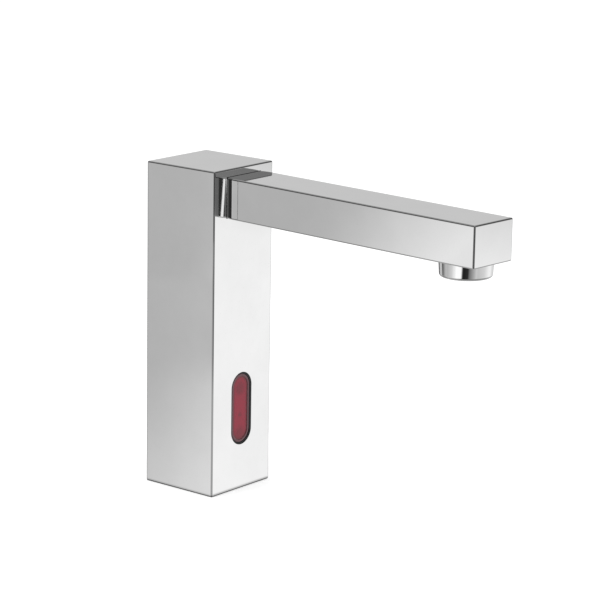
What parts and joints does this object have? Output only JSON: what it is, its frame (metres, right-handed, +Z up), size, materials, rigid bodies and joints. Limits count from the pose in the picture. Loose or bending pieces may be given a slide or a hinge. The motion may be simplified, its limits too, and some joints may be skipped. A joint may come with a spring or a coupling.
{
  "type": "sensor tap",
  "caption": "Deck-mounted sensor basin tap: square column with a recessed infrared window, swivelling rectangular spout with an aerator, and a solenoid valve inside.",
  "frame": {"origin": "centre of the column's square foot, on the deck", "axes": "+Z up out of the deck; +X forwards, the way the spout points when it is straight; +Y to the tap's left"},
  "size_m": [0.205, 0.046, 0.168],
  "materials": {
    "polished_chrome": "mirror-polished chrome plating",
    "brass": "machined brass",
    "steel": "machined stainless steel",
    "pipe_steel": "drawn stainless tube",
    "mesh": "fine woven stainless mesh",
    "valve_plastic": "moulded glass-filled plastic",
    "rubber": "matt black rubber",
    "black_plastic": "moulded black plastic",
    "lens_red": "dark red infrared window",
    "board_green": "green solder mask",
    "dark_resin": "dark infrared resin",
    "lamp_red": "red lamp resin",
    "coil_resin": "moulded coil resin",
    "aerator_plastic": "light grey moulded plastic",
    "slip_plastic": "white low-friction plastic"
  },
  "bodies": {
    "column": {"column_shell": "polished_chrome", "base_plate": "brass", "swivel_banjo": "brass", "shank_nut": "brass", "base_screws": "steel", "bonnet_screws": "steel", "bracket_screws": "steel", "sensor_screws": "steel", "shank_washer": "steel", "coil_yoke": "steel", "coil_nut": "steel", "fixed_core": "steel", "plunger_spring": "steel", "valve_bracket": "steel", "inlet_pipe": "pipe_steel", "outlet_pipe": "pipe_steel", "inlet_strainer": "mesh", "valve_body": "valve_plastic", "outlet_elbow": "valve_plastic", "valve_bonnet": "valve_plastic", "deck_seal": "rubber", "cable_grommet": "rubber", "pipe_o_rings": "rubber", "diaphragm": "rubber", "sensor_bezel": "black_plastic", "sensor_housing": "black_plastic", "light_baffle": "black_plastic", "board_connector": "black_plastic", "control_chip": "black_plastic", "sensor_lens": "lens_red", "sensor_board": "board_green", "ir_emitter": "dark_resin", "ir_receiver": "dark_resin", "indicator_lamp": "lamp_red", "solenoid_coil": "coil_resin", "slip_washers": "slip_plastic"},
    "spout": {"spout_arm": "polished_chrome", "swivel_pin": "brass", "pin_o_rings": "rubber", "aerator_housing": "polished_chrome", "aerator_washer": "rubber", "aerator_cartridge": "aerator_plastic", "flow_regulator": "aerator_plastic", "aerator_screens": "mesh", "outlet_grid": "aerator_plastic"},
    "plunger": {"plunger": "steel", "seat_pad": "rubber"}
  },
  "joints": [
    {"name": "spout_swivel", "type": "hinge", "parent": "column", "child": "spout", "pos_m": [0.028, 0, 0.1512], "axis": [0, 0, 1], "range_deg": [-16.5, 23.5]},
    {"name": "plunger_slide", "type": "slide", "parent": "column", "child": "plunger", "axis": [0, 0, 1], "range_m": [0, 0.0015], "stiffness_N_per_m": 300, "springref_m": -0.005, "deforming": ["plunger_spring"]}
  ]
}
